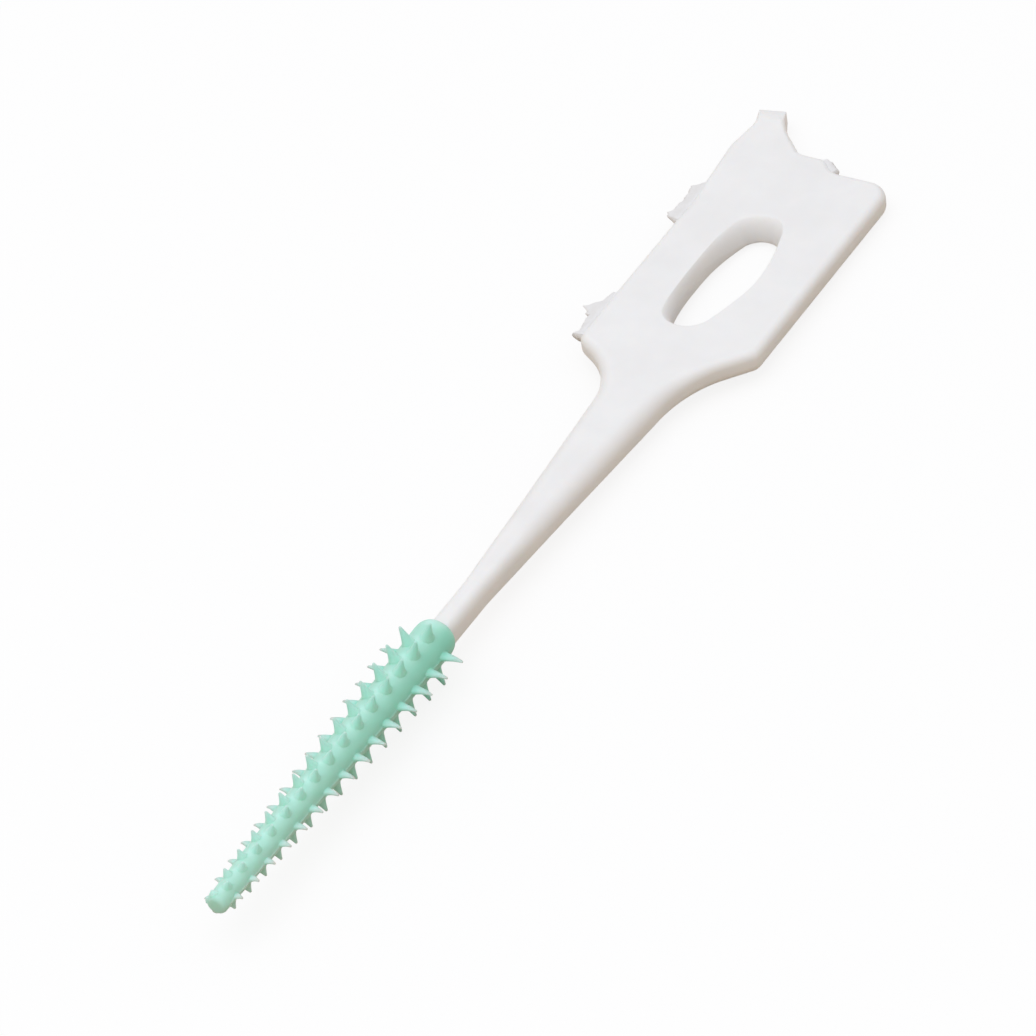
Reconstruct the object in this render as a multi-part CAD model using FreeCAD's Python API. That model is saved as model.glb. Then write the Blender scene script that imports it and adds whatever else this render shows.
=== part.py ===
import FreeCAD, Part

import math
import os

# Interdental pick: a flat handle moulded in one piece with its neck and the core of its brush,
# and a soft sleeve with rows of spikes moulded over that core. Millimetres.
# X runs from the brush to the handle, +Y is the left side and Z is up. The origin lies on the
# handle's lower face, on the centre line where the neck opens out into the paddle.

V = FreeCAD.Vector
tiny = 0.01

# Paddle of the handle
thickness = 1.4
paddle_width = 9.5
paddle_end = 16.35
edge_round = 0.6
edge_share = 0.47  # most of the thickness or of the rod's width that the round on one edge may take
lower_edge_round = 0.25
top_corner_round = 0.05  # corners of the flat top, inside its rounded edge
end_corner_round = 1.3
right_shoulder = 1.18
sweep_run = 3.26
sweep_round = 7.2
left_shoulder = -0.8
left_shoulder_round = 0.9
fillet_run = 1.7
fillet_round = 4.2

# Lens-shaped hole through the paddle
hole_centre = 6.35
hole_length = 8.75
hole_width = 3.6
hole_end_radius = 1.0
hole_rim_round = 0.45

# Neck, a straight taper from the shoulders to the rod at the brush
rod_width = 1.27
rod_length = 3.6
rod_bend_round = 12.0
neck_root = -5.0
neck_root_width = 3.47

# Core of the brush, set back all round from the rod
core_step = 0.1
core_tip_radius = 0.28
core_tip_cover = 0.5

# Sleeve of the brush
brush_end = -23.5
brush_length = 21.4
sleeve_tip_radius = 0.55
sleeve_end_radius = 1.14
tip_chamfer = 0.22
collar_dome = 0.8
collar_lip = 0.08
flash_height = 0.06
flash_thickness = 0.08

# Spikes of the sleeve, three rows on each side
spike_sides = 6
spike_pitch = 1.353
first_spike = 0.32
row_spread = 69.5
spike_height_tip = 0.44
spike_height_end = 1.17
spike_base_tip = 0.26
spike_base_end = 0.38
spike_point = 0.06
spike_sink = 0.15

# Ledge on the paddle's end, left by a broken joint of the moulding strip
ledge_height = 0.85
ledge_start = -1.2

# Horn at the left of the paddle's end, left by another joint; it swells, narrows and flares out
horn_root_width = 3.5
horn_length = 4.05
horn_width = 1.4
horn_slant = 0.2
horn_flare = 0.65
horn_waist = 0.3
horn_waist_run = 2.45
horn_waist_round = 1.5
horn_swell = 0.57
horn_swell_run = 0.25
horn_swell_round = 2.5
horn_foot_run = 4.85
horn_foot_round = 8.0
horn_bend_run = 2.55
horn_bend_width = 1.7
horn_bend_round = 4.0
horn_bevel = 1.1
horn_bevel_drop = 0.3

# Two thin ragged stubs on the left edge: where each starts, and the points of its torn outline,
# as distances along the edge from that start and out from the edge
stub_bottom = 0.55
stub_thickness = 0.5
stub_root = 0.45
lower_stub_start = -0.6
lower_stub = [
    (0.0, 0.2), (0.0, 0.5), (0.3, 0.23), (1.25, 0.43), (1.8, 0.48), (1.9, 0.76),
    (2.2, 0.83), (2.5, 1.24), (2.8, 0.68), (3.0, 0.33), (3.7, 0.1),
]
upper_stub_start = 9.6
upper_stub = [
    (0.2, 0.1), (0.43, 0.4), (0.57, 0.78), (0.89, 0.9), (1.14, 0.73), (1.92, 0.61),
    (2.82, 0.69), (3.42, 0.83), (3.4, 0.4), (3.6, 0.1),
]

axis_z = thickness / 2
half_width = paddle_width / 2
rod_end = brush_end + rod_length
soft_edge = min(edge_round, edge_share * thickness, edge_share * rod_width)
corner_round = soft_edge + top_corner_round
brush_tip = brush_end - brush_length
horn_end = paddle_end + horn_length


def between(start, finish, share):
    """Value that lies the given share of the way from start to finish."""
    return start + (finish - start) * share


def corner_arc(before, here, after, radius):
    """Arc of the given radius that rounds the corner at here, with its two ends."""
    back = (before - here).normalize()
    ahead = (after - here).normalize()
    half_angle = back.getAngle(ahead) / 2
    start = here + back * (radius / math.tan(half_angle))
    finish = here + ahead * (radius / math.tan(half_angle))
    middle = here + (back + ahead).normalize() * (radius / math.sin(half_angle) - radius)
    return Part.Arc(start, middle, finish).toShape(), start, finish


def rounded_slab(corners, bottom, height):
    """Slab with the outline through corners (x, y, radius), each corner rounded to its radius."""
    points = [V(x, y, bottom) for x, y, radius in corners]
    count = len(points)
    edges = []
    ends = []
    for i in range(count):
        radius = corners[i][2]
        if radius == 0:
            ends.append((points[i], points[i]))
        else:
            arc, start, finish = corner_arc(points[i - 1], points[i], points[(i + 1) % count], radius)
            edges.append(arc)
            ends.append((start, finish))
    for i in range(count):
        edges.append(Part.LineSegment(ends[i - 1][1], ends[i][0]).toShape())
    outline = Part.Wire(Part.sortEdges(edges)[0])
    return Part.Face(outline).extrude(V(0, 0, height))


def level_edges(solid, height, wanted):
    """Edges lying flat at the given height whose bounding box passes the test."""
    boxes = [(edge, edge.BoundBox) for edge in solid.Edges]
    flat = [(edge, box) for edge, box in boxes if max(abs(box.ZMin - height), abs(box.ZMax - height)) < tiny]
    return [edge for edge, box in flat if wanted(box)]


def neck_half_width(x):
    """Half width of the tapering neck at x."""
    return between(rod_width, neck_root_width, (x - rod_end) / (neck_root - rod_end)) / 2


def horn_corners():
    """Outline of the horn, from its root on the ledge round its broken end to its foot on the left edge."""
    ledge = paddle_end + ledge_height
    root = half_width - horn_root_width
    tip = half_width + horn_flare
    return [
        (ledge, root, corner_round),
        (paddle_end + horn_bend_run, half_width - horn_bend_width, horn_bend_round),
        (horn_end, tip - horn_width, 0),
        (horn_end - horn_slant, tip, 0),
        (paddle_end + horn_waist_run, half_width + horn_waist, horn_waist_round),
        (paddle_end + horn_swell_run, half_width + horn_swell, horn_swell_round),
        (paddle_end - horn_foot_run, half_width, horn_foot_round),
    ]


def on_long_edge(box):
    """True for an edge that is neither on the rod's end nor on the horn's broken end."""
    return box.XMax > brush_end + tiny and box.XMin < horn_end - horn_slant - tiny


def make_blank():
    """Flat blank of paddle, horn and neck, its upper long edges well rounded and its lower ones softened."""
    sweep_x = right_shoulder - sweep_run
    fillet_x = left_shoulder - fillet_run
    corners = [
        (brush_end, -rod_width / 2, 0),
        (rod_end, -rod_width / 2, rod_bend_round),
        (sweep_x, -neck_half_width(sweep_x), sweep_round),
        (right_shoulder, -half_width, corner_round),
        (paddle_end, -half_width, end_corner_round),
        (paddle_end, ledge_start, corner_round),
        (paddle_end + ledge_height, ledge_start + ledge_height, corner_round),
        *horn_corners(),
        (left_shoulder, half_width, left_shoulder_round),
        (fillet_x, neck_half_width(fillet_x), fillet_round),
        (rod_end, rod_width / 2, rod_bend_round),
        (brush_end, rod_width / 2, 0),
    ]
    blank = rounded_slab(corners, 0, thickness)
    blank = blank.makeFillet(soft_edge, level_edges(blank, thickness, on_long_edge))
    return blank.makeFillet(lower_edge_round, level_edges(blank, 0, on_long_edge))


def lens_plug():
    """Plug the shape of the hole: two long side arcs and two tight end arcs, all tangent."""
    a = hole_length / 2
    b = hole_width / 2
    r = hole_end_radius
    side_radius = ((a - r) ** 2 + b ** 2 - r ** 2) / (2 * (b - r))
    turn = math.atan2(a - r, side_radius - b)
    x = side_radius * math.sin(turn)
    y = side_radius * math.cos(turn) - (side_radius - b)
    joins = [V(-x, y, 0), V(x, y, 0), V(x, -y, 0), V(-x, -y, 0)]
    middles = [V(0, b, 0), V(a, 0, 0), V(0, -b, 0), V(-a, 0, 0)]
    edges = [Part.Arc(joins[i], middles[i], joins[(i + 1) % 4]).toShape() for i in range(4)]
    plug = Part.Face(Part.Wire(edges)).extrude(V(0, 0, thickness))
    plug.translate(V(hole_centre, 0, 0))
    return plug


def on_rim(box):
    """True for an edge of the hole's rim."""
    near_x = abs((box.XMin + box.XMax) / 2 - hole_centre) < hole_length / 2
    return near_x and max(abs(box.YMin), abs(box.YMax)) < hole_width / 2 + tiny


def bevel_waste():
    """Wedge above the sloping top of the horn's broken end."""
    profile = [
        V(horn_end - horn_bevel, 0, thickness),
        V(horn_end + horn_bevel, 0, thickness - 2 * horn_bevel_drop),
        V(horn_end + horn_bevel, 0, thickness + horn_bevel_drop),
        V(horn_end - horn_bevel, 0, thickness + horn_bevel_drop),
    ]
    return Part.Face(Part.makePolygon(profile + profile[:1])).extrude(V(0, paddle_width, 0))


def ragged_stub(start, torn_edge):
    """Thin ragged leftover of a strip joint on the left edge."""
    root = [(torn_edge[-1][0], -stub_root), (torn_edge[0][0] + stub_root, -stub_root)]
    outline = [(start + along, half_width + out, 0) for along, out in torn_edge + root]
    return rounded_slab(outline, stub_bottom, stub_thickness)


def on_axis(x, radius):
    """Point of a spun profile, at the given distance above the brush axis."""
    return V(x, 0, axis_z + radius)


def smooth_edge(*poles):
    """Bezier edge with the given poles."""
    curve = Part.BezierCurve()
    curve.setPoles(list(poles))
    return curve.toShape()


def taper_edge(start, finish):
    """Straight tapering side of a spun profile."""
    return smooth_edge(start, (start + finish) / 2, finish)


def spun(edges):
    """Solid spun about the brush axis from the edges of its profile, which is closed along the axis."""
    open_profile = Part.Wire(Part.sortEdges(edges)[0])
    ends = [vertex.Point for vertex in open_profile.OrderedVertexes]
    profile = Part.Wire(open_profile.Edges + [Part.makeLine(ends[-1], ends[0])])
    return Part.Face(profile).revolve(V(0, 0, axis_z), V(1, 0, 0), 360)


def make_core():
    """Tapered core that carries the brush."""
    core_tip = brush_tip + core_tip_cover
    rim = on_axis(brush_end, rod_width / 2 - core_step)
    tip_rim = on_axis(core_tip, core_tip_radius)
    return spun([
        Part.makeLine(on_axis(core_tip, 0), tip_rim),
        taper_edge(tip_rim, rim),
        Part.makeLine(rim, on_axis(brush_end, 0)),
    ])


def make_handle():
    handle = make_blank().cut(lens_plug())
    rim_round = min(hole_rim_round, edge_share * thickness)
    handle = handle.makeFillet(rim_round, level_edges(handle, thickness, on_rim))
    stubs = [ragged_stub(lower_stub_start, lower_stub), ragged_stub(upper_stub_start, upper_stub)]
    return handle.cut(bevel_waste()).multiFuse([make_core()] + stubs).removeSplitter()


def sleeve_radius(x):
    """Outer radius of the bare sleeve at x."""
    return between(sleeve_tip_radius, sleeve_end_radius, (x - brush_tip) / brush_length)


def make_sleeve_body():
    """Tapered sleeve with a chamfered tip and a domed collar, still solid inside."""
    dome_start = brush_end - collar_dome
    tip_rim = on_axis(brush_tip, sleeve_tip_radius - tip_chamfer)
    tip_shoulder = on_axis(brush_tip + tip_chamfer, sleeve_radius(brush_tip + tip_chamfer))
    dome_foot = on_axis(dome_start, sleeve_radius(dome_start))
    collar_rim = on_axis(brush_end, rod_width / 2 + collar_lip)
    return spun([
        Part.makeLine(on_axis(brush_tip, 0), tip_rim),
        Part.makeLine(tip_rim, tip_shoulder),
        Part.makeLine(tip_shoulder, dome_foot),
        smooth_edge(dome_foot, on_axis(brush_end, sleeve_end_radius), collar_rim),
        Part.makeLine(collar_rim, on_axis(brush_end, 0)),
    ])


def make_spike(x, degrees):
    """Many-sided spike with a blunt point, standing out of the sleeve at x, degrees above its right side."""
    share = (x - brush_tip) / brush_length
    foot = sleeve_radius(x) - spike_sink
    height = between(spike_height_tip, spike_height_end, share) + spike_sink
    half_base = between(spike_base_tip, spike_base_end, share)
    turns = [math.radians(360 * i / spike_sides) for i in range(spike_sides)]
    ring = [V(math.cos(turn), math.sin(turn), 0) for turn in turns]
    base = [corner * half_base for corner in ring]
    point = [corner * spike_point + V(0, 0, height) for corner in ring]
    sides = [[base[i - 1], base[i], point[i], point[i - 1]] for i in range(spike_sides)]
    faces = [Part.Face(Part.makePolygon(outline + outline[:1])) for outline in sides + [base, point]]
    spike = Part.Solid(Part.Shell(faces))
    outward = V(0, -math.cos(math.radians(degrees)), math.sin(math.radians(degrees)))
    turn = FreeCAD.Rotation(V(1, 0, 0), V(0, 0, 0), outward, "ZXY")
    spike.Placement = FreeCAD.Placement(V(x, 0, axis_z) + outward * foot, turn)
    return spike


def make_flash():
    """Thin line of flash that the mould's parting plane leaves along both sides of the sleeve."""
    near_tip = brush_tip + tip_chamfer
    near_end = brush_end - collar_dome
    reach_tip = sleeve_radius(near_tip) + flash_height
    reach_end = sleeve_radius(near_end) + flash_height
    outline = [(near_tip, -reach_tip), (near_end, -reach_end), (near_end, reach_end), (near_tip, reach_tip)]
    return rounded_slab([(x, y, 0) for x, y in outline], axis_z - flash_thickness / 2, flash_thickness)


def make_sleeve():
    spikes_in_row = int((brush_length - collar_dome - first_spike - spike_pitch / 2) / spike_pitch) + 1
    spikes = []
    for side, offset in ((0, spike_pitch / 2), (180, 0)):
        for tilt in (-row_spread, 0, row_spread):
            for i in range(spikes_in_row):
                spikes.append(make_spike(brush_tip + first_spike + offset + i * spike_pitch, side + tilt))
    return make_sleeve_body().multiFuse(spikes + [make_flash()]).cut(make_core()).removeSplitter()


os.makedirs("parts", exist_ok=True)
make_handle().exportStep("parts/handle.step")
make_sleeve().exportStep("parts/brush_sleeve.step")
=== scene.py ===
import math
from collections import namedtuple

import bmesh
import bpy
from mathutils import Matrix, Vector, noise
from mathutils.geometry import delaunay_2d_cdt


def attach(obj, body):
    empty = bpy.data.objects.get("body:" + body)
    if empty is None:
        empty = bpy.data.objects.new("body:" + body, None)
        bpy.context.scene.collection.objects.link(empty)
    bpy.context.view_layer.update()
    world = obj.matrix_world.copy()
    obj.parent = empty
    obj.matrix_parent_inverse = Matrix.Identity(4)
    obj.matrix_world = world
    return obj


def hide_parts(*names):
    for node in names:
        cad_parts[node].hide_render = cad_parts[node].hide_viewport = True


# Soft interdental pick: a white moulded handle, torn films of the moulding strip on its left edge and
# its end, and a mint green sleeve with rows of spikes. Lengths are millimetres in the row frame until
# a piece is finished: X runs from the brush to the handle, +Y is the left side and Z is up. The near
# end of a thing is the one towards the brush.

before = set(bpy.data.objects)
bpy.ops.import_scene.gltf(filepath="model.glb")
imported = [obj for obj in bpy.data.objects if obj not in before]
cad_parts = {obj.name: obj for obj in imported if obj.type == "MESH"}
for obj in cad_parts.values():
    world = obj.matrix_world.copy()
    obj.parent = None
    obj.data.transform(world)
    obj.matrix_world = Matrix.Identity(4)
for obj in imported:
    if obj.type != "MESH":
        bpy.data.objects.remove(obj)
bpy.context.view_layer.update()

MM = 0.001

# Handle
thickness = 1.4
paddle_width = 9.6
paddle_end = 16.35
corner_round = 0.85
end_corner_round = 1.3
right_shoulder = 1.18
sweep_run = 3.26
sweep_round = 7.2
left_shoulder = -0.8
left_shoulder_round = 0.9
fillet_run = 1.7
fillet_round = 4.2
rod_width = 1.34
rod_length = 3.6
rod_bend_round = 12.0
neck_root = -5.0
neck_root_width = 3.47
ledge_height = 0.85
ledge_start = -1.2
arc_step = 0.08  # distance between the points of an outline on its arcs and on its straight lines
line_step = 1.0
least_arc_pieces = 6
least_spread = 0.4  # keeps a sharp corner from moving too far when its outline is inset
fill_tolerance = 1e-6
triangles_inside = 1  # tells delaunay_2d_cdt to keep the triangles inside its edges only

# Lens-shaped hole through the paddle
hole_centre = 6.57
hole_length = 8.9
hole_width = 3.32
hole_end_radius = 1.12
hole_side_step = 0.1
hole_lean = 0.3  # how far the near end lies to the left of the centre line

# Edges of the sides: width and height of the upper round, radius of the lower one, how far the top
# lies below the paddle's, and how straight the upper round is (0 a curve, 1 a plain slope)
Edge = namedtuple("Edge", "width fall low drop straight")
paddle_edge = Edge(0.44, 0.46, 0.6, 0, 0)
neck_edge = Edge(0.9, 0.85, 0.15, 0, 0)
rod_edge = Edge(0.5, 0.6, 0.05, 0.15, 0)
horn_edge = Edge(0.3, 0.35, 0.4, 0, 0)
hole_side_edge = Edge(0.25, 0.7, 0.12, 0, 0.5)
hole_far_edge = Edge(0.6, 1.25, 0.1, 0, 0.4)
hole_near_edge = Edge(0.4, 0.6, 0.12, 0, 0.5)
hole_near_start = 0.4  # share of the way to the near end at which that end's edge sets in
hole_right_side = (-1.2, -0.2)  # over these y the far end's edge gives way to the right side's
flat_rim = 0.05  # strip of the flat faces in which each side wall ends
handle_sharp_angle = 40  # degrees past which an edge of the handle is shaded sharp
neck_crown = 0.12  # half width of the flat that is left along the top of the neck and rod
lower_round_steps = 8
upper_round_steps = 12

# Horn left at the paddle's end by a torn joint
horn_root_width = 3.5
horn_length = 4.05
horn_width = 1.4
horn_slant = 0.5
horn_flare = 0.45
horn_waist = 0.1
horn_waist_run = 2.45
horn_waist_round = 1.5
horn_swell = 0.45
horn_swell_run = 0.25
horn_swell_round = 2.5
horn_foot_run = 4.85
horn_foot_round = 8.0
horn_bend_run = 2.55
horn_bend_width = 1.7
horn_bend_round = 4.0
horn_bevel = 1.1
horn_bevel_drop = 0.3
horn_spare = 1.0  # length drawn past the broken end, then cut off

# Torn films: where each starts on an edge, and its outline as (along, out) from that start
left_edge_turn = 0
ledge_turn = 225
film_columns = 70
film_rows = 12
film_root = 0.5
film_top = 1.3
film_root_thickness = 0.55
film_lip_thickness = 0.12
film_lip_edge = 0.001  # half thickness left at the very lip
film_lip_start = 0.9  # share of the way out at which the lip's round sets in
film_span = 1.2  # distance out over which a film comes free of the edge
film_thin_gain = 1.6  # how much sooner than that it is as thin as its lip
film_wave_gain = 3  # and has its full wave
film_wave = 0.09
film_wave_rate = 1.6
film_sag = 0.08
film_least_reach = 0.02
coarse_fray = 0.07
coarse_fray_rate = 5
fine_fray = 0.035
fine_fray_rate = 14
fine_fray_layer = 5  # sets the noise of the fine fray apart from the coarse one's
lower_film_seed = 3
upper_film_seed = 8
ledge_film_seed = 5
lower_film = [
    (0.0, 0.2), (0.04, 0.5), (0.3, 0.23), (1.25, 0.43), (1.8, 0.48), (1.9, 0.76),
    (2.2, 0.83), (2.5, 1.24), (2.8, 0.68), (3.0, 0.33), (3.7, 0.1),
]
upper_film = [
    (0.2, 0.1), (0.43, 0.4), (0.57, 0.78), (0.89, 0.9), (1.14, 0.73), (1.92, 0.61),
    (2.82, 0.69), (3.38, 0.83), (3.42, 0.4), (3.6, 0.1),
]
ledge_film = [
    (0.0, 0.05), (0.2, 0.12), (0.35, 0.3), (0.5, 0.2), (0.62, 0.34), (0.85, 0.28),
    (1.0, 0.36), (1.2, 0.05),
]

# Brush
axis_z = thickness / 2
brush_end = -23.5
brush_length = 21.4
brush_tip = brush_end - brush_length
core_inset = 0.1  # how far the core's root lies inside the rod
core_tip_radius = 0.28
core_tip_cover = 0.5
core_steps = 40
core_sides = 32
sleeve_tip_radius = 0.55
sleeve_end_radius = 1.14
tip_round = 0.26
tip_steps = 7
taper_steps = 140
collar_dome = 0.8
collar_lip = 0.08
collar_steps = 12
flash_height = 0.06
flash_width = 0.05
flash_fade = 0.4

# Spikes, in rows that are named by their angle in degrees up from the right side. Those in the parting
# plane, at 0 and 180, are flattened to blades.
near_rows = (-65, 0, 72)
far_rows = (110.5, 180, 249.5)
blade_rows = (0, 180)
spikes_in_row = 15
spike_pitch = 1.353
near_row_shift = 0.5  # how much nearer to the collar the near rows stand, as a share of the pitch
first_spike = 0.32
spike_height_tip = 0.38
spike_height_end = 1.19
first_spikes_run = 1.2  # length at the tip over which the spikes grow to their full height
first_spikes_share = 0.5  # share of that height at the tip itself
side_row_height = 0.9  # share of that height in the rows beside the blades
spike_base_tip = 0.2
spike_base_end = 0.31
spike_point = 0.08
spike_flare = 0.06
spike_flare_height = 0.12
spike_sink = 0.2
spike_sides = 20
spike_levels = (0, 0.03, 0.07, 0.12, 0.18, 0.26, 0.36, 0.48, 0.6, 0.72, 0.84, 0.93)
spike_point_turns = (0, 30, 60)
blade_flatness = 0.65  # thickness of a blade as a share of its width
blade_bow = 0.06  # upward bow of a blade

# Paler places of the sleeve: its tip, its top with painted light where it faces up, a painted highlight by
# each upper spike, the blades and the collar's lip. A slope is the height of a place above the axis as a
# share of its distance from it.
tip_paleness = 0.55
# Painted light: the sleeve's top is made paler where it faces up, between the slopes below
top_painted_light = 0.38
top_slopes = (0.6, 0.96)  # slopes between which the top's paleness sets in
# Painted highlight beside each upper spike: its place behind the spike, its length, its turn round the
# sleeve and its spread
highlight_behind = 0.32
highlight_length = 0.34
highlight_turn = 92
highlight_spread = 20
blade_paleness = 0.4
blade_slope = 0.6  # greatest slope of a blade
blade_fade = (0.05, 0.5)  # shares of a blade's height between which its paleness sets in
lip_run = 0.6
lip_paleness = 0.6
least_distance = 0.01  # stands for a place's distance from the axis where it lies on it

# Greyness of the sleeve's green, on the way from the freshest green, which is painted light on the points
# of the upper near row, to the greyest
body_grey = 0.25
spike_grey = 0.7
upper_row_rise = 2  # least rise over run, from the axis, of a place in the upper near row

half_width = paddle_width / 2
lower_film_start = (-0.6, half_width)
upper_film_start = (9.6, half_width)
ledge_film_start = (paddle_end + ledge_height, ledge_start + ledge_height)
rod_end = brush_end + rod_length
horn_end = paddle_end + horn_length


def between(start, finish, share):
    """Value that lies the given share of the way from start to finish."""
    return start + (finish - start) * share


def smooth_share(value, start, finish):
    """0 up to start and 1 past finish, with a smooth change between them."""
    share = min(1, max(0, (value - start) / (finish - start)))
    return share * share * (3 - 2 * share)


def new_object(name, data):
    """Object for a mesh, a camera or a light, linked to the scene."""
    thing = bpy.data.objects.new(name, data)
    bpy.context.scene.collection.objects.link(thing)
    return thing


def object_from_bmesh(name, bm):
    """Object made from the BMesh, with its faces turned outwards."""
    bmesh.ops.recalc_face_normals(bm, faces=bm.faces)
    mesh = bpy.data.meshes.new(name)
    bm.to_mesh(mesh)
    bm.free()
    return new_object(name, mesh)


def joined(base, parts):
    """Base with the closed parts joined to it in one closed mesh."""
    for part in parts:
        join = base.modifiers.new("join", "BOOLEAN")
        join.operation = "UNION"
        join.solver = "MANIFOLD"
        join.object = part
    depsgraph = bpy.context.evaluated_depsgraph_get()
    mesh = bpy.data.meshes.new_from_object(base.evaluated_get(depsgraph))
    base.modifiers.clear()
    base.data = mesh
    for part in parts:
        bpy.data.objects.remove(part)
    return base


def finished_piece(piece, node, material, sharp_angle=180):
    """Brings the piece to metres, dresses it and hands it over in place of the CAD node."""
    mesh = piece.data
    mesh.transform(Matrix.Scale(MM, 4))
    mesh.shade_smooth()
    mesh.set_sharp_from_angle(angle=math.radians(sharp_angle))
    mesh.materials.clear()
    mesh.materials.append(material)
    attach(piece, "root")
    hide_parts(node)
    return piece


def arc_points(centre, start, finish, step):
    """Points about step apart on the arc round centre from start to finish."""
    radius = (start - centre).length
    first = math.atan2(start.y - centre.y, start.x - centre.x)
    last = math.atan2(finish.y - centre.y, finish.x - centre.x)
    sweep = (last - first + math.pi) % (2 * math.pi) - math.pi
    count = max(least_arc_pieces, math.ceil(abs(sweep) * radius / step))
    turns = [first + sweep * i / count for i in range(count + 1)]
    return [centre + radius * Vector((math.cos(turn), math.sin(turn))) for turn in turns]


def rounded_outline(corners):
    """Closed outline through corners (x, y, radius), each corner rounded to its radius."""
    count = len(corners)
    bends = []
    for i, (x, y, radius) in enumerate(corners):
        here = Vector((x, y))
        back = (Vector(corners[i - 1][:2]) - here).normalized()
        ahead = (Vector(corners[(i + 1) % count][:2]) - here).normalized()
        if radius == 0:
            bends.append([here])
            continue
        half_angle = back.angle(ahead) / 2
        centre = here + (back + ahead).normalized() * (radius / math.sin(half_angle))
        reach = radius / math.tan(half_angle)
        bends.append(arc_points(centre, here + back * reach, here + ahead * reach, arc_step))
    outline = []
    for i in range(count):
        start = bends[i][-1]
        finish = bends[(i + 1) % count][0]
        pieces = max(1, math.ceil((finish - start).length / line_step))
        outline += bends[i]
        outline += [start.lerp(finish, j / pieces) for j in range(1, pieces)]
    return outline


def inset(outline, depths):
    """Outline moved to the left of its way round by the depth given for each of its points."""
    count = len(outline)
    moved = []
    for i, here in enumerate(outline):
        before = (here - outline[i - 1]).normalized()
        after = (outline[(i + 1) % count] - here).normalized()
        normal = Vector((-before.y - after.y, before.x + after.x)).normalized()
        spread = max(normal.dot(Vector((-after.y, after.x))), least_spread)
        moved.append(here + normal * (depths[i] / spread))
    return moved


def side_rings(edges):
    """(inset, height) pairs of each ring of a side wall, for the edges given along it."""
    rings = [[(edge.low + flat_rim, 0) for edge in edges]]
    for step in range(lower_round_steps + 1):
        rings.append([lower_ring(edge, step / lower_round_steps) for edge in edges])
    for step in range(upper_round_steps + 1):
        rings.append([upper_ring(edge, step / upper_round_steps) for edge in edges])
    rings.append([(edge.width + flat_rim, thickness - edge.drop) for edge in edges])
    return rings


def lower_ring(edge, share):
    """(inset, height) of an edge's lower round at a share of the way up it."""
    turn = math.radians(90 * share)
    return edge.low * (1 - math.sin(turn)), edge.low * (1 - math.cos(turn))


def upper_ring(edge, share):
    """(inset, height) of an edge's upper round at a share of the way up it."""
    turn = math.radians(90 * share)
    inward = between(1 - math.cos(turn), share, edge.straight)
    below = between(1 - math.sin(turn), 1 - share, edge.straight)
    return edge.width * inward, thickness - edge.drop - edge.fall * below


def add_side(bm, outline, edges):
    """Side wall along the outline with the edges given for its points; returns its end rings."""
    rings = []
    for ring in side_rings(edges):
        moved = inset(outline, [depth for depth, height in ring])
        rings.append([bm.verts.new((*place, height)) for place, (depth, height) in zip(moved, ring)])
    count = len(outline)
    for low, high in zip(rings, rings[1:]):
        for i in range(count):
            j = (i + 1) % count
            bm.faces.new((low[i], low[j], high[j], high[i]))
    return rings[0], rings[-1]


def lies_between(point, rings):
    """True for a point inside the first ring of points and outside the others."""
    crossings = 0
    for ring in rings:
        for i in range(len(ring)):
            start = ring[i - 1]
            finish = ring[i]
            if (start.y > point.y) != (finish.y > point.y):
                share = (point.y - start.y) / (finish.y - start.y)
                crossings += point.x < between(start.x, finish.x, share)
    return crossings % 2 == 1


def fill_between(bm, rings):
    """Flat faces that fill the area inside the first ring of vertices and outside the others."""
    corners = [corner for ring in rings for corner in ring]
    edges = []
    for ring in rings:
        first = corners.index(ring[0])
        edges += [(first + i, first + (i + 1) % len(ring)) for i in range(len(ring))]
    flat = [corner.co.xy for corner in corners]
    outlines = [[corner.co.xy for corner in ring] for ring in rings]
    filled = delaunay_2d_cdt(flat, edges, [], triangles_inside, fill_tolerance)
    places, _, triangles, sources, _, _ = filled
    for triangle in triangles:
        middle = sum((places[i] for i in triangle), Vector((0, 0))) / 3
        if lies_between(middle, outlines):
            bm.faces.new([corners[sources[i][0]] for i in triangle])


def cut_off(bm, place, outward):
    """Removes all that lies outward of a plane and closes the cut."""
    geometry = bm.verts[:] + bm.edges[:] + bm.faces[:]
    cut = bmesh.ops.bisect_plane(bm, geom=geometry, plane_co=place, plane_no=outward, clear_outer=True)
    edges = [item for item in cut["geom_cut"] if isinstance(item, bmesh.types.BMEdge)]
    bmesh.ops.triangle_fill(bm, use_beauty=True, use_dissolve=False, edges=edges)


def neck_half_width(x):
    """Half width of the tapering neck at x."""
    return between(rod_width, neck_root_width, max(0, (x - rod_end) / (neck_root - rod_end))) / 2


def horn_corners():
    """Outline of the horn, drawn past its broken end."""
    ledge = paddle_end + ledge_height
    root = half_width - horn_root_width
    tip = half_width + horn_flare
    bend = Vector((paddle_end + horn_bend_run, half_width - horn_bend_width))
    waist = Vector((paddle_end + horn_waist_run, half_width + horn_waist))
    inner = Vector((horn_end, tip - horn_width))
    outer = Vector((horn_end - horn_slant, tip))
    inner += (inner - bend).normalized() * horn_spare
    outer += (outer - waist).normalized() * horn_spare
    return [
        (ledge, root, corner_round),
        (bend.x, bend.y, horn_bend_round),
        (inner.x, inner.y, 0),
        (outer.x, outer.y, 0),
        (waist.x, waist.y, horn_waist_round),
        (paddle_end + horn_swell_run, half_width + horn_swell, horn_swell_round),
        (paddle_end - horn_foot_run, half_width, horn_foot_round),
    ]


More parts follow.
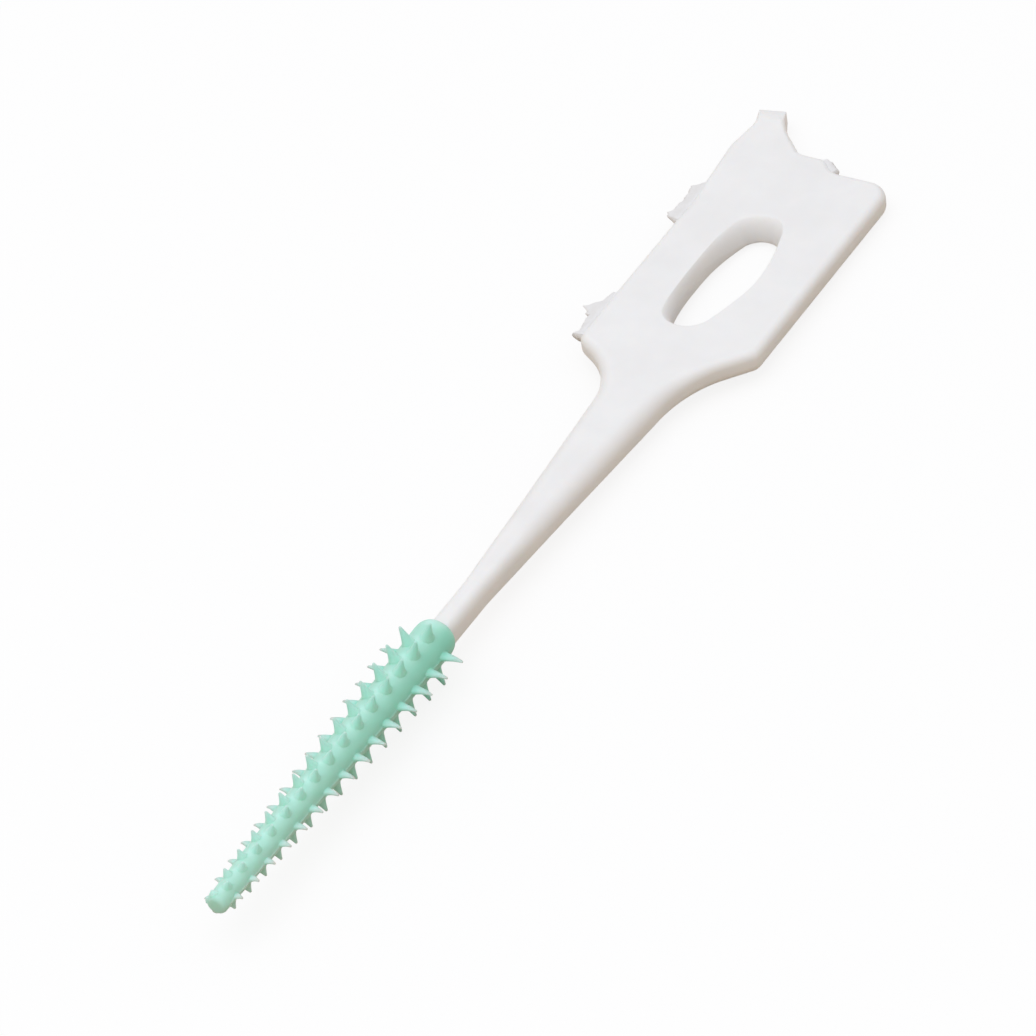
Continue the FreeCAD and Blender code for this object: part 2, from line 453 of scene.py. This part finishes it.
def handle_outline():
    """Outline of paddle, horn, neck and rod, anticlockwise from above."""
    sweep_x = right_shoulder - sweep_run
    fillet_x = left_shoulder - fillet_run
    return rounded_outline([
        (brush_end, -rod_width / 2, 0),
        (rod_end, -rod_width / 2, rod_bend_round),
        (sweep_x, -neck_half_width(sweep_x), sweep_round),
        (right_shoulder, -half_width, corner_round),
        (paddle_end, -half_width, end_corner_round),
        (paddle_end, ledge_start, corner_round),
        (paddle_end + ledge_height, ledge_start + ledge_height, corner_round),
        *horn_corners(),
        (left_shoulder, half_width, left_shoulder_round),
        (fillet_x, neck_half_width(fillet_x), fillet_round),
        (rod_end, rod_width / 2, rod_bend_round),
        (brush_end, rod_width / 2, 0),
    ])


def hole_outline():
    """Outline of the lens-shaped hole, clockwise from above: two long arcs and two tight ends."""
    reach = hole_length / 2
    rise = hole_width / 2
    end_x = reach - hole_end_radius
    side_radius = (end_x ** 2 + rise ** 2 - hole_end_radius ** 2) / (2 * (rise - hole_end_radius))
    drop = side_radius - rise
    turn = math.atan2(end_x, drop)
    x = side_radius * math.sin(turn)
    y = side_radius * math.cos(turn) - drop
    left = Vector((-x, y))
    right = Vector((x, y))
    flip = Vector((1, -1))
    sides = [
        arc_points(Vector((0, -drop)), left, right, hole_side_step),
        arc_points(Vector((end_x, 0)), right, right * flip, arc_step),
        arc_points(Vector((0, drop)), right * flip, left * flip, hole_side_step),
        arc_points(Vector((-end_x, 0)), left * flip, left, arc_step),
    ]
    points = [point for side in sides for point in side[:-1]]
    leans = [hole_lean * smooth_share(-point.x / reach, 0, 1) for point in points]
    return [point + Vector((hole_centre, lean)) for point, lean in zip(points, leans)]


def add_spun(bm, profile, turns):
    """Closed surface spun about the brush axis from (x, radius) pairs that start and end on the axis."""
    rings = []
    for x, radius in profile[1:-1]:
        ring = [(x, -radius * math.cos(turn), axis_z + radius * math.sin(turn)) for turn in turns]
        rings.append([bm.verts.new(point) for point in ring])
    count = len(turns)
    for low, high in zip(rings, rings[1:]):
        for i in range(count):
            bm.faces.new((low[i - 1], low[i], high[i], high[i - 1]))
    for (x, radius), ring in ((profile[0], rings[0]), (profile[-1], rings[-1])):
        pole = bm.verts.new((x, 0, axis_z))
        for i in range(count):
            bm.faces.new((pole, ring[i - 1], ring[i]))


def even_turns(count):
    """Angles of count equal steps round a circle."""
    return [2 * math.pi * i / count for i in range(count)]


def make_core():
    """Tapered core of the brush, its root inside the rod."""
    core_tip = brush_tip + core_tip_cover
    root = brush_end + core_inset
    rim = rod_width / 2 - core_inset
    profile = [(core_tip, 0)]
    for i in range(core_steps + 1):
        share = i / core_steps
        profile.append((between(core_tip, root, share), between(core_tip_radius, rim, share)))
    profile.append((root, 0))
    bm = bmesh.new()
    add_spun(bm, profile, even_turns(core_sides))
    return object_from_bmesh("core", bm)


def blended_edge(first, second, share):
    """Edge that lies the given share of the way from the first to the second."""
    return Edge(*(between(start, finish, share) for start, finish in zip(first, second)))


def handle_edge(x):
    """Edge of the handle at x: full on the neck, tighter on the rod, the paddle and the horn."""
    neck = neck_edge._replace(width=min(neck_edge.width, neck_half_width(x) - neck_crown))
    edge = blended_edge(rod_edge, neck, smooth_share(x, rod_end, (rod_end + neck_root) / 2))
    edge = blended_edge(edge, paddle_edge, smooth_share(x, neck_root, 0))
    return blended_edge(edge, horn_edge, smooth_share(x, paddle_end, paddle_end + horn_bend_run))


def hole_edge(point):
    """Edge of the hole at a point of its outline; its ends slope more than its sides."""
    reach = (point.x - hole_centre) / (hole_length / 2)
    far = smooth_share(reach, 0, 1) * smooth_share(point.y, *hole_right_side)
    edge = blended_edge(hole_side_edge, hole_far_edge, far)
    return blended_edge(edge, hole_near_edge, smooth_share(-reach, hole_near_start, 1))


def make_handle():
    """White moulding: the paddle with its hole and horn, the neck, the rod and the core."""
    bm = bmesh.new()
    outline = handle_outline()
    hole = hole_outline()
    outer_low, outer_high = add_side(bm, outline, [handle_edge(point.x) for point in outline])
    hole_low, hole_high = add_side(bm, hole, [hole_edge(point) for point in hole])
    fill_between(bm, [outer_high, hole_high])
    fill_between(bm, [outer_low, hole_low])
    broken = Vector((horn_width, horn_slant, 0)).normalized()
    cut_off(bm, Vector((horn_end, half_width + horn_flare - horn_width, 0)), broken)
    slope = Vector((horn_bevel_drop, 0, horn_bevel)).normalized()
    cut_off(bm, Vector((horn_end - horn_bevel, 0, thickness)), slope)
    return joined(object_from_bmesh("handle_moulding", bm), [make_core()])


def torn_reach(outline, along):
    """How far the torn edge stands out at a distance along the handle's edge."""
    for (start, low), (finish, high) in zip(outline, outline[1:]):
        if start <= along <= finish:
            return between(low, high, (along - start) / (finish - start))
    return 0


def film_reach(outline, along, seed):
    """How far a torn film stands out at a distance along its edge, with its lip frayed."""
    coarse = noise.noise(Vector((along * coarse_fray_rate, seed, 0))) * coarse_fray
    fine = noise.noise(Vector((along * fine_fray_rate, seed, fine_fray_layer))) * fine_fray
    return max(torn_reach(outline, along) + (coarse + fine), film_least_reach)


def film_section(along, reach, seed):
    """(out, height, half thickness) across a torn film, from its root in the handle to its lip."""
    section = []
    for j in range(film_rows + 1):
        share = j / film_rows
        out = between(-film_root, reach, share)
        free = max(0, out) / film_span
        depth = between(film_root_thickness, film_lip_thickness, min(1, free * film_thin_gain))
        past = max(0, (share - film_lip_start) / (1 - film_lip_start))
        lip = math.sqrt(max(0, 1 - past ** 2))
        wave = noise.noise(Vector((along * film_wave_rate, out * film_wave_rate, seed))) * film_wave
        wave *= min(1, free * film_wave_gain)
        height = film_top - film_root_thickness / 2 + wave - film_sag * free
        section.append((out, height, depth * lip / 2 + film_lip_edge))
    return section


def add_shell(bm, tops, bottoms):
    """Faces of a thin shell between two grids of vertices, its rims included."""
    columns = len(tops) - 1
    rows = len(tops[0]) - 1
    for i in range(columns):
        for j in range(rows):
            bm.faces.new((tops[i][j], tops[i + 1][j], tops[i + 1][j + 1], tops[i][j + 1]))
            bm.faces.new((bottoms[i][j], bottoms[i][j + 1], bottoms[i + 1][j + 1], bottoms[i + 1][j]))
        for j in (0, rows):
            bm.faces.new((tops[i][j], tops[i + 1][j], bottoms[i + 1][j], bottoms[i][j]))
    for i in (0, columns):
        for j in range(rows):
            bm.faces.new((tops[i][j], tops[i][j + 1], bottoms[i][j + 1], bottoms[i][j]))


def make_film(name, start, turn, outline, seed):
    """Thin torn film to the left of an edge that runs at the given turn, thick at its root."""
    forward = Vector((math.cos(math.radians(turn)), math.sin(math.radians(turn)), 0))
    outward = Vector((-forward.y, forward.x, 0))
    up = Vector((0, 0, 1))
    bm = bmesh.new()
    tops = []
    bottoms = []
    for i in range(film_columns + 1):
        along = between(outline[0][0], outline[-1][0], i / film_columns)
        section = film_section(along, film_reach(outline, along, seed), seed)
        edge = Vector((*start, 0)) + forward * along
        for grid, side in ((tops, 1), (bottoms, -1)):
            places = [edge + outward * out + up * (height + side * half) for out, height, half in section]
            grid.append([bm.verts.new(place) for place in places])
    add_shell(bm, tops, bottoms)
    return object_from_bmesh(name, bm)


def brush_share(x):
    """How far along the brush x lies, from 0 at its tip to 1 at its collar."""
    return (x - brush_tip) / brush_length


def sleeve_radius(x):
    """Outer radius of the bare sleeve at x."""
    return between(sleeve_tip_radius, sleeve_end_radius, brush_share(x))


def spike_height(x):
    """Height of a spike that stands at x."""
    full = between(spike_height_tip, spike_height_end, brush_share(x))
    grown = smooth_share(x, brush_tip, brush_tip + first_spikes_run)
    return full * between(first_spikes_share, 1, grown)


def sleeve_profile():
    """(x, radius) pairs of the bare sleeve, from its rounded tip along its taper to its domed collar."""
    shoulder = brush_tip + tip_round
    dome_start = brush_end - collar_dome
    profile = [(brush_tip, 0)]
    for i in range(tip_steps + 1):
        turn = math.radians(90 * i / tip_steps)
        radius = sleeve_radius(shoulder) - tip_round * (1 - math.sin(turn))
        profile.append((shoulder - tip_round * math.cos(turn), radius))
    for i in range(1, taper_steps + 1):
        x = between(shoulder, dome_start, i / taper_steps)
        profile.append((x, sleeve_radius(x)))
    rim = rod_width / 2 + collar_lip
    for i in range(1, collar_steps + 1):
        share = i / collar_steps
        x = between(between(dome_start, brush_end, share), brush_end, share)
        low = between(sleeve_radius(dome_start), sleeve_end_radius, share)
        high = between(sleeve_end_radius, rim, share)
        profile.append((x, between(low, high, share)))
    profile.append((brush_end, 0))
    return profile


def sleeve_turns():
    """Angles round the sleeve, closer together at the parting line on both sides."""
    fine = [0, 1, 2, 3, 4, 6, 8]
    coarse = list(range(12, 169, 4))
    quarter = fine + coarse + [180 - turn for turn in reversed(fine)]
    return [math.radians(turn) for turn in quarter + [180 + turn for turn in quarter[1:-1]]]


def with_flash(vertex):
    """Moves a vertex of the bare sleeve out onto the fine ridge of the parting line."""
    x, y, z = vertex.co
    past_tip = min(1, max(0, (x - brush_tip - tip_round) / flash_fade))
    before_collar = min(1, max(0, (brush_end - collar_dome - x) / flash_fade))
    ridge = flash_height * math.exp(-((z - axis_z) / flash_width) ** 2) * past_tip * before_collar
    vertex.co.y += math.copysign(ridge, y)


def make_sleeve_body():
    """Bare sleeve with its parting line."""
    bm = bmesh.new()
    add_spun(bm, sleeve_profile(), sleeve_turns())
    for vertex in bm.verts:
        with_flash(vertex)
    return object_from_bmesh("soft_sleeve", bm)


def spike_profile(x, height):
    """(height, radius) pairs of a spike from its sunk foot to the start of its point."""
    base = between(spike_base_tip, spike_base_end, brush_share(x))
    top = height - spike_point
    flare = spike_flare * base / spike_base_end
    pairs = [(-spike_sink, base + flare)]
    for level in spike_levels:
        swell = flare * math.exp(-level * top / spike_flare_height)
        pairs.append((level * top, between(base, spike_point, level) + swell))
    for turn in spike_point_turns:
        rise = math.radians(turn)
        pairs.append((top + spike_point * math.sin(rise), spike_point * math.cos(rise)))
    return pairs


def add_spike(bm, x, degrees):
    """Spike with a flared foot and a rounded point, standing out of the sleeve at x."""
    is_blade = degrees in blade_rows
    height = spike_height(x) * (1 if is_blade else side_row_height)
    bow = blade_bow if is_blade else 0
    flatness = blade_flatness if is_blade else 1
    angle = math.radians(degrees)
    outward = Vector((0, -math.cos(angle), math.sin(angle)))
    along = Vector((1, 0, 0))
    across = outward.cross(along) * flatness
    foot = Vector((x, 0, axis_z)) + outward * sleeve_radius(x)
    turns = even_turns(spike_sides)
    rings = []
    for level, radius in spike_profile(x, height):
        lift = bow * math.sin(math.pi * max(0, level) / height)
        middle = foot + outward * level + Vector((0, 0, lift))
        ring = [middle + radius * (along * math.cos(turn) + across * math.sin(turn)) for turn in turns]
        rings.append([bm.verts.new(point) for point in ring])
    for low, high in zip(rings, rings[1:]):
        for i in range(len(turns)):
            bm.faces.new((low[i - 1], low[i], high[i], high[i - 1]))
    point = bm.verts.new(foot + outward * height)
    for i in range(len(turns)):
        bm.faces.new((point, rings[-1][i - 1], rings[-1][i]))
    bm.faces.new(rings[0])


def make_spike_row(degrees, offset):
    """Row of spikes along the sleeve, its first one moved towards the collar by the offset."""
    bm = bmesh.new()
    for i in range(spikes_in_row):
        add_spike(bm, brush_tip + first_spike + offset + i * spike_pitch, degrees)
    return object_from_bmesh("spike_row", bm)


def spike_share(place):
    """How far up its spike a place lies, from 0 on the sleeve to 1 at the point."""
    radius = math.hypot(place.y, place.z - axis_z)
    return min(1, max(0, (radius - sleeve_radius(place.x)) / spike_height(place.x)))


def in_upper_near_row(place):
    """True for a place on the spikes of the upper near row, or on the sleeve below them."""
    return place.y < 0 and place.z - axis_z > upper_row_rise * abs(place.y)


def grey_share(place):
    """How grey the rubber is at a place: most at a spike's point, least at those of the upper near row,
    which are painted greener as painted light against their shade.
    """
    # painted light: the upper near row's points go to the freshest green to offset their shade
    point_grey = 0 if in_upper_near_row(place) else 1
    return between(body_grey, point_grey, spike_share(place))


def painted_highlight_share(place):
    """1 in the middle of the painted highlight by an upper spike, falling off round it."""
    turn = math.degrees(math.atan2(place.z - axis_z, -place.y))
    steps = (place.x - brush_tip - first_spike) / spike_pitch - near_row_shift
    behind = (steps - round(steps)) * spike_pitch + highlight_behind
    return math.exp(-(behind / highlight_length) ** 2 - ((turn - highlight_turn) / highlight_spread) ** 2)


def pale_share(place):
    """How pale the rubber is at a place: for lying thin over the core or standing thin in the air, and
    with painted light on the sleeve's top.
    """
    slope = (place.z - axis_z) / max(math.hypot(place.y, place.z - axis_z), least_distance)
    # painted light: paler on the sleeve's top, where it faces up
    top = top_painted_light * smooth_share(slope, *top_slopes)
    pale = between(tip_paleness, top, brush_share(place.x))
    lip = smooth_share(place.x, brush_end - lip_run, brush_end)
    lip *= smooth_share(place.z, axis_z, axis_z + rod_width)
    blade = smooth_share(spike_share(place), *blade_fade) if abs(slope) < blade_slope else 0
    return between(between(pale, 1, lip_paleness * lip), 1, blade_paleness * blade)


def mark_sleeve(mesh):
    """Stores on each vertex the shares that colour the sleeve."""
    shares = {"grey_share": grey_share, "pale_share": pale_share, "painted_highlight_share": painted_highlight_share}
    for name, share in shares.items():
        mark = mesh.attributes.new(name, "FLOAT", "POINT")
        mark.data.foreach_set("value", [share(vertex.co) for vertex in mesh.vertices])


def make_sleeve():
    """Soft sleeve with all its spikes, the near rows half a pitch behind the far ones."""
    rows = [make_spike_row(degrees, near_row_shift * spike_pitch) for degrees in near_rows]
    rows += [make_spike_row(degrees, 0) for degrees in far_rows]
    sleeve = joined(make_sleeve_body(), rows)
    mark_sleeve(sleeve.data)
    return sleeve


# Colours: each pair holds the darkest and the lightest of a mottling
handle_whites = ((0.85, 0.852, 0.85), (0.885, 0.887, 0.885))
film_whites = ((0.88, 0.88, 0.885), (0.92, 0.92, 0.925))
film_glow = (0.9, 0.9, 0.9)
film_glow_share = 0.1
# painted light: greener points of the upper near row, offsetting their shade
painted_light_green = (0.25, 0.87, 0.66)
body_green = (0.33, 0.77, 0.625)
spike_green = (0.35, 0.77, 0.64)
point_green = (0.44, 0.76, 0.67)
pale_green = (0.65, 0.89, 0.81)
# painted highlight on the flanks of the upper spikes
painted_highlight_green = (0.58, 0.91, 0.82)
sleeve_shades = ((0.94, 0.95, 0.94), (1, 1, 1))
noise_range = (0.3, 0.7)  # values between which nearly all of a noise lies
noise_detail = 3

# Finishes: size of the mottling's blotches, least and greatest roughness and the size of its blotches,
# size and depth of the grain, with all sizes in millimetres
Finish = namedtuple("Finish", "mottle_size rough_low rough_high rough_size grain_size grain_depth")
handle_finish = Finish(2.2, 0.42, 0.56, 0.5, 0.25, 0.006)
film_finish = Finish(0.6, 0.4, 0.6, 0.3, 0.2, 0.02)
sleeve_finish = Finish(0.9, 0.4, 0.55, 0.3, 0.12, 0.006)

# Light that wanders below the surface: its share, how far it gets in millimetres, and the shares of
# that way for red, green and blue
Scatter = namedtuple("Scatter", "weight reach colours")
handle_scatter = Scatter(0.25, 0.5, (1.0, 0.8, 0.65))
sleeve_scatter = Scatter(1, 0.6, (0.6, 0.9, 0.85))
handle_ior = 1.45


def set_stops(ramp, stops):
    """Gives a colour ramp its stops of (position, colour)."""
    elements = ramp.color_ramp.elements
    while len(elements) < len(stops):
        elements.new(0.5)
    for element, (position, colour) in zip(elements, stops):
        element.position = position
        element.color = (*colour, 1)


class Shader:
    """Node tree of a material with its Principled shader and texture coordinates at hand."""

    def __init__(self, name):
        self.material = bpy.data.materials.new(name)
        self.material.use_nodes = True
        self.tree = self.material.node_tree
        self.surface = self.tree.nodes["Principled BSDF"]
        self.output = self.tree.nodes["Material Output"]
        self.place = self.add("ShaderNodeTexCoord").outputs["Object"]

    def add(self, kind, **settings):
        """New node of a kind, with its settings."""
        node = self.tree.nodes.new(kind)
        for name, value in settings.items():
            setattr(node, name, value)
        return node

    def link(self, source, target):
        """Joins an output socket to an input socket."""
        self.tree.links.new(source, target)

    def noise(self, size):
        """Value of a noise whose blotches are about the given size in millimetres."""
        node = self.add("ShaderNodeTexNoise")
        node.inputs["Scale"].default_value = 1 / (size * MM)
        node.inputs["Detail"].default_value = noise_detail
        self.link(self.place, node.inputs["Vector"])
        return node.outputs["Fac"]

    def ranged(self, value, low, high):
        """Value of a noise spread over low to high."""
        node = self.add("ShaderNodeMapRange")
        node.inputs["From Min"].default_value = noise_range[0]
        node.inputs["From Max"].default_value = noise_range[1]
        node.inputs["To Min"].default_value = low
        node.inputs["To Max"].default_value = high
        self.link(value, node.inputs["Value"])
        return node.outputs["Result"]

    def ramp(self, value, *stops):
        """Colour from stops of (position, colour) at the value."""
        node = self.add("ShaderNodeValToRGB")
        set_stops(node, stops)
        self.link(value, node.inputs["Fac"])
        return node.outputs["Color"]

    def mottled(self, finish, shades):
        """Colour that drifts between two shades, in the blotches of a finish."""
        return self.ramp(self.noise(finish.mottle_size), *zip(noise_range, shades))

    def share(self, name):
        """Value of a share that is stored on the vertices."""
        return self.add("ShaderNodeAttribute", attribute_name=name).outputs["Fac"]

    def mixed(self, share, colour, other):
        """The colour of a socket mixed with another one by a share."""
        node = self.add("ShaderNodeMix", data_type="RGBA")
        self.link(share, node.inputs["Factor"])
        self.link(colour, node.inputs["A"])
        node.inputs["B"].default_value = (*other, 1)
        return node.outputs["Result"]

    def bump(self, value, depth):
        """Normal from a height value that reaches the given depth in millimetres."""
        node = self.add("ShaderNodeBump")
        node.inputs["Distance"].default_value = depth * MM
        node.inputs["Strength"].default_value = 1
        self.link(value, node.inputs["Height"])
        return node.outputs["Normal"]

    def texture(self, finish):
        """Gives the surface the roughness and the grain of a finish."""
        rough = self.ranged(self.noise(finish.rough_size), finish.rough_low, finish.rough_high)
        grain = self.bump(self.noise(finish.grain_size), finish.grain_depth)
        self.link(rough, self.surface.inputs["Roughness"])
        self.link(grain, self.surface.inputs["Normal"])

    def scatter(self, light):
        """Lets light wander below the surface."""
        self.surface.inputs["Subsurface Weight"].default_value = light.weight
        self.surface.inputs["Subsurface Radius"].default_value = light.colours
        self.surface.inputs["Subsurface Scale"].default_value = light.reach * MM


def handle_material():
    """Matte white polypropylene with faint flow mottling."""
    shader = Shader("handle_plastic")
    shader.link(shader.mottled(handle_finish, handle_whites), shader.surface.inputs["Base Color"])
    shader.texture(handle_finish)
    shader.scatter(handle_scatter)
    shader.surface.inputs["IOR"].default_value = handle_ior
    return shader.material


def film_material():
    """The handle's plastic torn so thin that light comes through."""
    shader = Shader("torn_film")
    shader.link(shader.mottled(film_finish, film_whites), shader.surface.inputs["Base Color"])
    shader.texture(film_finish)
    glow = shader.add("ShaderNodeBsdfTranslucent")
    glow.inputs["Color"].default_value = (*film_glow, 1)
    mix = shader.add("ShaderNodeMixShader")
    mix.inputs["Fac"].default_value = film_glow_share
    shader.link(shader.surface.outputs["BSDF"], mix.inputs[1])
    shader.link(glow.outputs["BSDF"], mix.inputs[2])
    shader.link(mix.outputs["Shader"], shader.output.inputs["Surface"])
    return shader.material


def sleeve_material():
    """Soft mint green elastomer, paler and greyer where the spikes thin out to their points, with painted
    light on its top and on the upper near row's points, and a painted highlight by each upper spike.
    """
    shader = Shader("sleeve_rubber")
    green = shader.ramp(
        shader.share("grey_share"),
        (0, painted_light_green), (body_grey, body_green), (spike_grey, spike_green), (1, point_green))
    colour = shader.mixed(shader.share("pale_share"), green, pale_green)
    # painted highlight by each upper spike
    colour = shader.mixed(shader.share("painted_highlight_share"), colour, painted_highlight_green)
    mottle = shader.add("ShaderNodeMix", data_type="RGBA", blend_type="MULTIPLY")
    mottle.inputs["Factor"].default_value = 1
    shader.link(colour, mottle.inputs["A"])
    shader.link(shader.mottled(sleeve_finish, sleeve_shades), mottle.inputs["B"])
    shader.link(mottle.outputs["Result"], shader.surface.inputs["Base Color"])
    shader.texture(sleeve_finish)
    shader.scatter(sleeve_scatter)
    return shader.material


# Camera, floor and light
view_turn = 215.804
view_rise = 38.957
view_roll = -9.47
view_centre = (-14.36, 0.671, 0.825)
view_distance = 367.27
lens = 253.2
sensor_width = 36
near_clip = 10

floor_touch_brush = (-24.9, -1.40)
floor_touch_handle = (17.0, 0.0)
floor_size = 3000
floor_bounce = (0.45, 0.35, 0.25)
floor_white_share = 0.85
floor_paper = (0.95, 0.95, 0.95)
lamp_place = (-150, 60, 420)
lamp_size = 420
lamp_power = 0.6
sky_low = (0.57, 0.47, 0.345)
sky_middle = (0.70, 0.675, 0.645)
sky_high = (0.87, 0.91, 1.02)


def make_camera():
    """Camera at the photo's angle, by its turn and rise round the view's centre and its roll."""
    turn = math.radians(view_turn)
    rise = math.radians(view_rise)
    away = Vector((math.cos(rise) * math.cos(turn), math.cos(rise) * math.sin(turn), math.sin(rise)))
    level = Vector((0, 0, 1)).cross(away).normalized()
    axes = Matrix((level, away.cross(level), away)).transposed()
    camera = new_object("camera", bpy.data.cameras.new("camera"))
    camera.matrix_world = Matrix.LocRotScale(
        (Vector(view_centre) + away * view_distance) * MM,
        axes @ Matrix.Rotation(math.radians(view_roll), 3, "Z"), None)
    camera.data.lens = lens
    camera.data.sensor_width = sensor_width
    camera.data.clip_start = near_clip * MM
    bpy.context.scene.camera = camera


def floor_material():
    """Pale floor that throws back warm light and looks white to the camera, with the shadow kept."""
    shader = Shader("floor")
    nodes = shader.tree.nodes
    nodes.remove(shader.surface)
    path = shader.add("ShaderNodeLightPath")
    seen = shader.add("ShaderNodeMath", operation="MAXIMUM")
    seen_through = shader.add("ShaderNodeMath", operation="MAXIMUM")
    shader.link(path.outputs["Is Camera Ray"], seen.inputs[0])
    shader.link(path.outputs["Is Glossy Ray"], seen.inputs[1])
    shader.link(seen.outputs[0], seen_through.inputs[0])
    shader.link(path.outputs["Is Transmission Ray"], seen_through.inputs[1])
    bounce = shader.add("ShaderNodeBsdfDiffuse")
    bounce.inputs["Color"].default_value = (*floor_bounce, 1)
    paper = shader.add("ShaderNodeBsdfDiffuse")
    paper.inputs["Color"].default_value = (*floor_paper, 1)
    white = shader.add("ShaderNodeEmission")
    white.inputs["Strength"].default_value = 1
    look = shader.add("ShaderNodeMixShader")
    look.inputs["Fac"].default_value = floor_white_share
    shader.link(paper.outputs["BSDF"], look.inputs[1])
    shader.link(white.outputs["Emission"], look.inputs[2])
    mix = shader.add("ShaderNodeMixShader")
    shader.link(seen_through.outputs[0], mix.inputs["Fac"])
    shader.link(bounce.outputs["BSDF"], mix.inputs[1])
    shader.link(look.outputs["Shader"], mix.inputs[2])
    shader.link(mix.outputs["Shader"], shader.output.inputs["Surface"])
    return shader.material


def make_floor():
    """Floor under the lowest spikes and the paddle's far end, on which the pick rests."""
    bm = bmesh.new()
    bmesh.ops.create_grid(bm, size=floor_size / 2 * MM)
    floor = object_from_bmesh("floor", bm)
    run = floor_touch_handle[0] - floor_touch_brush[0]
    drop = floor_touch_handle[1] - floor_touch_brush[1]
    floor.rotation_euler = (0, -math.atan2(drop, run), 0)
    floor.location = Vector((floor_touch_brush[0], 0, floor_touch_brush[1])) * MM
    floor.data.materials.append(floor_material())


def make_lamp(name, place, size, power):
    """Square soft light that faces the middle of the object."""
    data = bpy.data.lights.new(name, "AREA")
    data.size = size * MM
    data.energy = power
    lamp = new_object(name, data)
    lamp.location = Vector(place) * MM
    aim = Vector(view_centre) - Vector(place)
    lamp.rotation_euler = aim.to_track_quat("-Z", "Y").to_euler()


def make_world():
    """Soft sky, warm and dim at its foot and cool and bright overhead; white where it is looked at."""
    world = bpy.data.worlds.new("surround")
    world.use_nodes = True
    tree = world.node_tree
    nodes = tree.nodes
    place = nodes.new("ShaderNodeTexCoord")
    parts = nodes.new("ShaderNodeSeparateXYZ")
    tree.links.new(place.outputs["Generated"], parts.inputs["Vector"])
    ramp = nodes.new("ShaderNodeValToRGB")
    set_stops(ramp, ((0, sky_low), (0.5, sky_middle), (1, sky_high)))
    tree.links.new(parts.outputs["Z"], ramp.inputs["Fac"])
    sky = nodes["Background"]
    tree.links.new(ramp.outputs["Color"], sky.inputs["Color"])
    white = nodes.new("ShaderNodeBackground")
    white.inputs["Color"].default_value = (1, 1, 1, 1)
    path = nodes.new("ShaderNodeLightPath")
    mix = nodes.new("ShaderNodeMixShader")
    tree.links.new(path.outputs["Is Camera Ray"], mix.inputs["Fac"])
    tree.links.new(sky.outputs["Background"], mix.inputs[1])
    tree.links.new(white.outputs["Background"], mix.inputs[2])
    tree.links.new(mix.outputs["Shader"], nodes["World Output"].inputs["Surface"])
    bpy.context.scene.world = world


finished_piece(make_handle(), "handle", handle_material(), handle_sharp_angle)
film = film_material()
for torn in (
    make_film("torn_film_lower", lower_film_start, left_edge_turn, lower_film, lower_film_seed),
    make_film("torn_film_upper", upper_film_start, left_edge_turn, upper_film, upper_film_seed),
    make_film("torn_film_ledge", ledge_film_start, ledge_turn, ledge_film, ledge_film_seed),
):
    finished_piece(torn, "handle", film)
finished_piece(make_sleeve(), "brush_sleeve", sleeve_material())

make_camera()
make_floor()
make_lamp("overhead_softbox", lamp_place, lamp_size, lamp_power)
make_world()
bpy.context.scene.view_settings.view_transform = "Standard"
